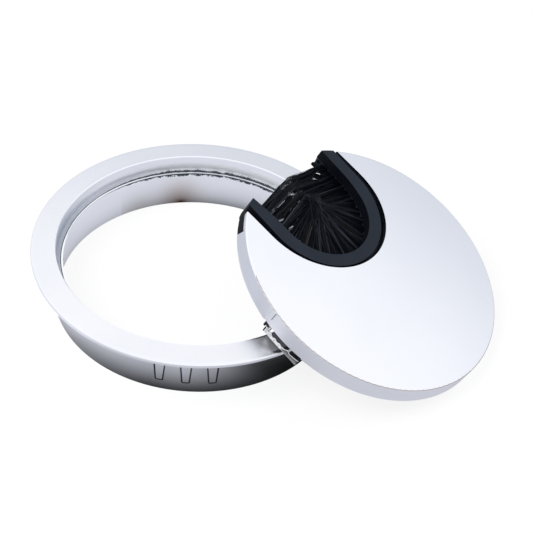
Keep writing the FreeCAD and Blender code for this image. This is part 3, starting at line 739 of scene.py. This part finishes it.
def bristles():
    """Nylon filaments in tufts, with thinner bunches between them lower in the strip; paler strands are
    a painted sheen.
    """
    rng = np.random.default_rng(7)
    points, faces, tones, total = [], [], [], 0
    roots = tuft_roots(TUFTS)
    between = tuft_roots(2 * TUFTS - 1)[1::2]
    for low, places in enumerate((roots, between)):
        for (root_u, root_w), (nu, nw) in places:
            to_focus = np.array([FOCUS_U - root_u, FOCUS_W - root_w])
            distance = np.linalg.norm(to_focus)
            to_focus /= distance
            on_arm = abs(nu) < 1e-6
            near_side = root_u < 14 or root_w > 6
            if on_arm:
                way, length, width = np.array([nu + 0.15, nw]), 17.2, 0.9
            else:
                way, width = np.array([nu, nw]) * 0.5 + to_focus * 0.5, 0.78
                length = min(20.0, distance + (0.6 if near_side else 4.0))
            way = np.append(way / np.linalg.norm(way), 0.0)
            side = np.array([-way[1], way[0], 0.0])
            start = np.array(wear_back((root_u, root_w, TUFT_Z - 0.35 * low))) - way * SINK
            lift = 0.075 if near_side else 0.02
            # chances of plain, painted-sheen and brown strands: the lower bunches get no painted sheen,
            # and the near side gets more
            if low:
                count, spread, odds = 90 if on_arm else 46, (1.35, 0.5), (1.0, 0.0, 0.0)
            else:
                count, spread = 84, (width, 0.8)
                odds = (0.56, 0.39, 0.05) if near_side else (0.80, 0.19, 0.01)
            centre, a, radius, strand = filament_lines(start, way, side, rng, count, spread,
                                                       length - 2.0 * low, lift - 0.045 * low)
            bunch, quads = filament_mesh(centre, a, radius, side)
            shades = rng.choice(3, STRANDS, p=odds)[strand]
            shades[rng.random(count) < 0.35] = 0
            tones += list(np.repeat(shades, len(quads) // count))
            points.append(bunch)
            faces += [tuple(total + i for i in face) for face in quads]
            total += len(bunch)
    piece = add_piece("bristle_filaments", np.concatenate(points), faces, "cover",
                      BRISTLE, "bristle_tufts", 80)
    piece.data.materials.append(BRISTLE_SHEEN)
    piece.data.materials.append(BRISTLE_BROWN)
    for polygon, tone in zip(piece.data.polygons, tones):
        polygon.material_index = int(tone)


bristles()


# ---- floor, world, lamp, camera -----------------------------------------------------------------
def length_ramp(m, value, stops):
    """Grey ramp over a length in metres; its stops are in millimetres, up to 100."""
    return m.ramp(m.maths("DIVIDE", value, 0.1), [(at / 100, grey(level)) for at, level in stops])


def share_ramp(m, value, stops):
    """Grey ramp over a value between 0 and 1."""
    return m.ramp(value, [(at, grey(level)) for at, level in stops])


# painted shade that metal sees on the floor, by distance from the ring's axis, inside the ring and
# outside it
FLOOR_INSIDE_RIGHT = [(0, .88), (22, .84), (29.6, .80), (34, .60), (37.3, .32), (38.4, .22)]
FLOOR_INSIDE_LEFT = [(0, .88), (22, .88), (29.6, .87), (34, .79), (37.3, .60), (38.4, .50)]
FLOOR_OUTSIDE = [(39.7, .028), (41, .065), (42.2, .11), (45.2, .265), (47.4, .42),
                 (52, .58), (58, .66), (80, .70)]
# and painted shade and light in front of the ring, times one grey and plus another, by x from 50 mm
# left to 50 mm right
FLOOR_TIMES = [(.49, 1), (.547, .86), (.638, .56), (.70, .30), (.75, .07), (.79, .04)]
FLOOR_PLUS = [(.10, .55), (.15, .36), (.174, .24), (.272, .09), (.39, .005), (.42, 0)]
FLOOR_INSIDE_R, FLOOR_NEAR_R = 0.0391, 0.058
FLOOR_TINT = rgb(0.955, 0.97, 1.03)
FLOOR_SIZE, FLOOR_DROP = 8, 0.00002     # the drop keeps the floor off the ring's foot
FLOOR_GLOW = 0.86       # the camera sees a pale veil, and the soft shadow in what is left
FLOOR_VEIL = rgb(0.19, 0.19, 0.19)
FLOOR_PAINT = rgb(0.8, 0.8, 0.8)


def floor_in_mirror(m):
    """Colour of the floor as metal sees it, painted as a glow: darker in a painted shade where the ring
    throws its shade round it.
    """
    split = m.add("ShaderNodeSeparateXYZ", None, i0=m.place())
    x, y = split.outputs["X"], split.outputs["Y"]
    radius = m.radius(x, y)
    inside = m.mix(m.span(x, -0.004, -0.028, 0.0, 1.0), length_ramp(m, radius, FLOOR_INSIDE_RIGHT),
                   length_ramp(m, radius, FLOOR_INSIDE_LEFT))
    outside = length_ramp(m, radius, FLOOR_OUTSIDE)
    across = m.maths("ADD", m.product(x, 10.0), 0.5)
    behind = m.maths("SUBTRACT", 1.0, m.span(y, 0.016, -0.002, 0.0, 1.0))
    away = m.maths("MAXIMUM", m.span(radius, 0.051, 0.062, 0.0, 1.0), behind)
    times = m.mix(away, share_ramp(m, across, FLOOR_TIMES), WHITE)
    close = m.mix(1.0, outside, times, "MULTIPLY")
    close = m.mix(1.0, close, share_ramp(m, across, FLOOR_PLUS), "ADD")
    outside = m.mix(m.over(radius, FLOOR_NEAR_R), close, outside)
    shade = m.mix(m.over(radius, FLOOR_INSIDE_R), inside, outside)
    return m.mix(1.0, shade, FLOOR_TINT, "MULTIPLY")


def make_floor():
    """Plain pale table top that keeps the object's shadow; metal sees the painted shade and light of
    floor_in_mirror on it.
    """
    bpy.ops.mesh.primitive_plane_add(size=FLOOR_SIZE, location=(0, 0, -FLOOR_DROP))
    floor = bpy.context.object
    floor.name = "floor"
    m = Nodes(bpy.data.materials.new("floor_pale"))
    m.tree.nodes.remove(m.shader)
    mirrored = m.add("ShaderNodeEmission", None, Color=floor_in_mirror(m))
    diffuse = m.add("ShaderNodeBsdfDiffuse", None, Color=FLOOR_PAINT)
    glow = m.add("ShaderNodeEmission", None, Color=WHITE, Strength=FLOOR_GLOW)
    veil = m.add("ShaderNodeBsdfDiffuse", None, Color=FLOOR_VEIL)
    both = m.add("ShaderNodeAddShader", None, i0=glow.outputs[0], i1=veil.outputs[0])
    path = m.add("ShaderNodeLightPath").outputs
    seen = m.blend(path["Is Glossy Ray"], diffuse.outputs[0], mirrored.outputs[0])
    seen = m.blend(path["Is Camera Ray"], seen, both.outputs[0])
    m.put(m.tree.nodes["Material Output"], "Surface", seen)
    floor.data.materials.append(m.owner)


SKY_WAY = (-0.394, -1.169, 0.311)       # the sky that metal sees changes along this direction
SKY_FROM, SKY_TO = -1.557, 0.043
SKY_STOPS = [(0.20, (.56, .58, .62)), (0.41, (.71, .735, .785)), (0.4375, (.75, .775, .82)),
             (0.54, (.93, .945, .975)), (0.575, (.98, .99, 1.01)), (0.645, (1.02, 1.025, 1.03)),
             (0.72, (1.055, 1.055, 1.055)), (0.88, (1.065, 1.065, 1.065))]
SKY_LIGHT = 0.55


def make_world():
    """Even soft light; metal sees a gradient in the sky, and the camera sees plain white."""
    world = bpy.data.worlds.new("studio")
    bpy.context.scene.world = world
    m = Nodes(world)
    m.tree.nodes.clear()
    way = m.add("ShaderNodeTexCoord").outputs["Generated"]
    level = m.span(m.dot(way, SKY_WAY), SKY_FROM, SKY_TO, 0.0, 1.0, smooth=False)
    light = m.add("ShaderNodeBackground", None, Color=WHITE, Strength=SKY_LIGHT)
    mirrored = m.add("ShaderNodeBackground", None, Color=m.ramp(level, SKY_STOPS))
    white = m.add("ShaderNodeBackground", None, Color=WHITE)
    path = m.add("ShaderNodeLightPath").outputs
    mirror = m.maths("MAXIMUM", path["Is Glossy Ray"], path["Is Transmission Ray"])
    seen = m.blend(mirror, light.outputs[0], mirrored.outputs[0])
    seen = m.blend(path["Is Camera Ray"], seen, white.outputs[0])
    m.add("ShaderNodeOutputWorld", None, Surface=seen)


def make_lamp(name, at, target, size, power):
    """Round soft lamp that metal doesn't mirror."""
    lamp = bpy.data.lights.new(name, "AREA")
    lamp.shape = "DISK"
    lamp.size = size
    lamp.energy = power
    thing = bpy.data.objects.new(name, lamp)
    bpy.context.scene.collection.objects.link(thing)
    thing.location = at
    thing.rotation_mode = "QUATERNION"
    thing.rotation_quaternion = (Vector(target) - Vector(at)).to_track_quat("-Z", "Y")
    thing.visible_glossy = False


CAMERA_AT = (0.019472, -0.434359, 0.403812)
CAMERA_RIGHT = Vector((0.997207, 0.050080, 0.055413))
CAMERA_UP = Vector((-0.074690, 0.668628, 0.739837))
CAMERA_AHEAD = Vector((0.0, 0.741909, -0.670500))


def make_camera():
    camera = bpy.data.cameras.new("camera")
    camera.sensor_width = 36
    camera.lens = 141.981
    camera.clip_start, camera.clip_end = 0.01, 50
    thing = bpy.data.objects.new("camera", camera)
    bpy.context.scene.collection.objects.link(thing)
    turn = Matrix((CAMERA_RIGHT, CAMERA_UP, -CAMERA_AHEAD)).transposed().to_4x4()
    thing.matrix_world = Matrix.Translation(CAMERA_AT) @ turn
    bpy.context.scene.camera = thing


make_floor()
make_world()
make_lamp("key", at=(-0.5, -0.35, 0.9), target=(0.02, 0, 0), size=0.7, power=5.0)
make_camera()
bpy.context.scene.view_settings.view_transform = "Standard"
